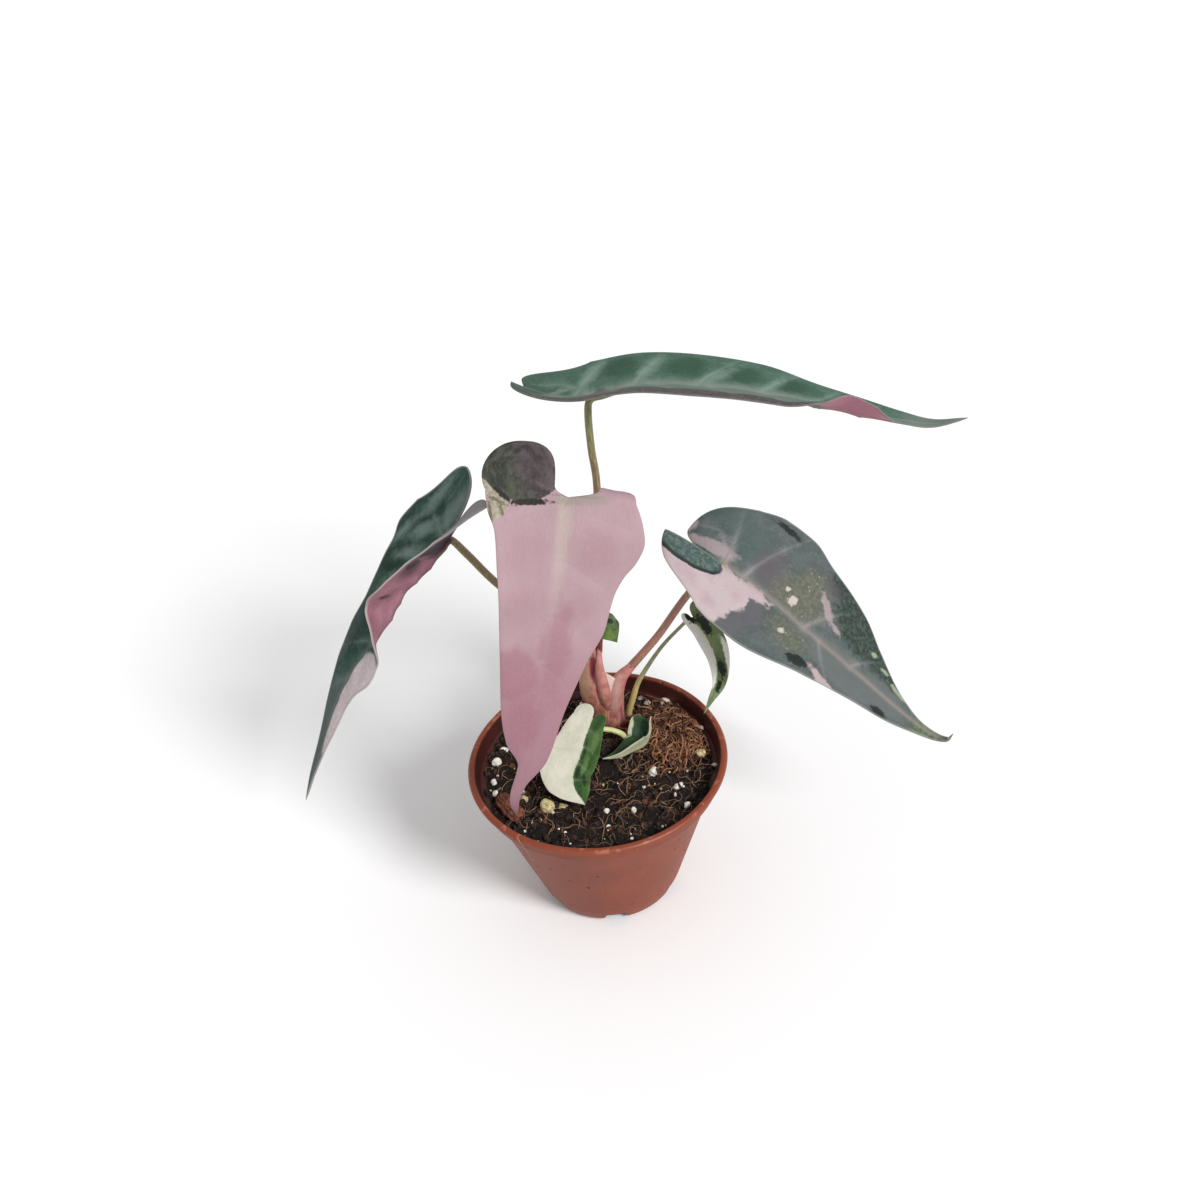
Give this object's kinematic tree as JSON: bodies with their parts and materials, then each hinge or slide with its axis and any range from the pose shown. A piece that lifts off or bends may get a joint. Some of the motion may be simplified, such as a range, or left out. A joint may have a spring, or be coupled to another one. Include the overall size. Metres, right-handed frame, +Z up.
{
  "type": "potted pink variegated bambino arrow alocasia",
  "caption": "Small potted alocasia with long arrow-shaped leaves variegated pink, cream and dark green, in a terracotta-coloured nursery pot.",
  "frame": {"origin": "middle of the pot's foot, on the surface that it stands on", "axes": "+Z up; +X along the broad side of the plant, towards the large leaf on the right; -Y towards the pink leaf in front"},
  "size_m": [0.1739, 0.0731, 0.1522],
  "materials": {
    "pot": "satin moulded terracotta-coloured plastic with fine scuffs",
    "soil": "moist dark potting mix with fibres and white grains",
    "crown": "smooth living leaf sheaths, reddish pink over brown",
    "fibre_clump": "dry coir and root fibres",
    "bark_chip": "rough bark",
    "blade_pink": "velvety pale pink leaf, darker below",
    "petiole_pink": "smooth living leaf stalk",
    "blade_left": "satin dark green leaf with silvery veins, pink below",
    "petiole_left": "smooth living leaf stalk",
    "blade_top": "satin dark green leaf with silvery veins, pink below",
    "petiole_top": "smooth living leaf stalk",
    "blade_right": "satin grey-green leaf with pink-white sectors",
    "petiole_right": "smooth living leaf stalk",
    "blade_arched": "young green leaf with a white edge",
    "petiole_arched": "smooth living leaf stalk",
    "blade_cream": "young leaf, half cream and half bright green",
    "petiole_cream": "smooth living leaf stalk",
    "blade_cupped": "young cupped leaf, dark green inside and cream outside",
    "petiole_cupped": "smooth living leaf stalk",
    "blade_bud": "young green leaf",
    "petiole_bud": "smooth living leaf stalk"
  },
  "bodies": {
    "root": {"pot": "pot", "soil": "soil", "crown": "crown", "fibre_clump": "fibre_clump", "bark_chip": "bark_chip", "blade_pink": "blade_pink", "petiole_pink": "petiole_pink", "blade_left": "blade_left", "petiole_left": "petiole_left", "blade_top": "blade_top", "petiole_top": "petiole_top", "blade_right": "blade_right", "petiole_right": "petiole_right", "blade_arched": "blade_arched", "petiole_arched": "petiole_arched", "blade_cream": "blade_cream", "petiole_cream": "petiole_cream", "blade_cupped": "blade_cupped", "petiole_cupped": "petiole_cupped", "blade_bud": "blade_bud", "petiole_bud": "petiole_bud"}
  },
  "joints": []
}
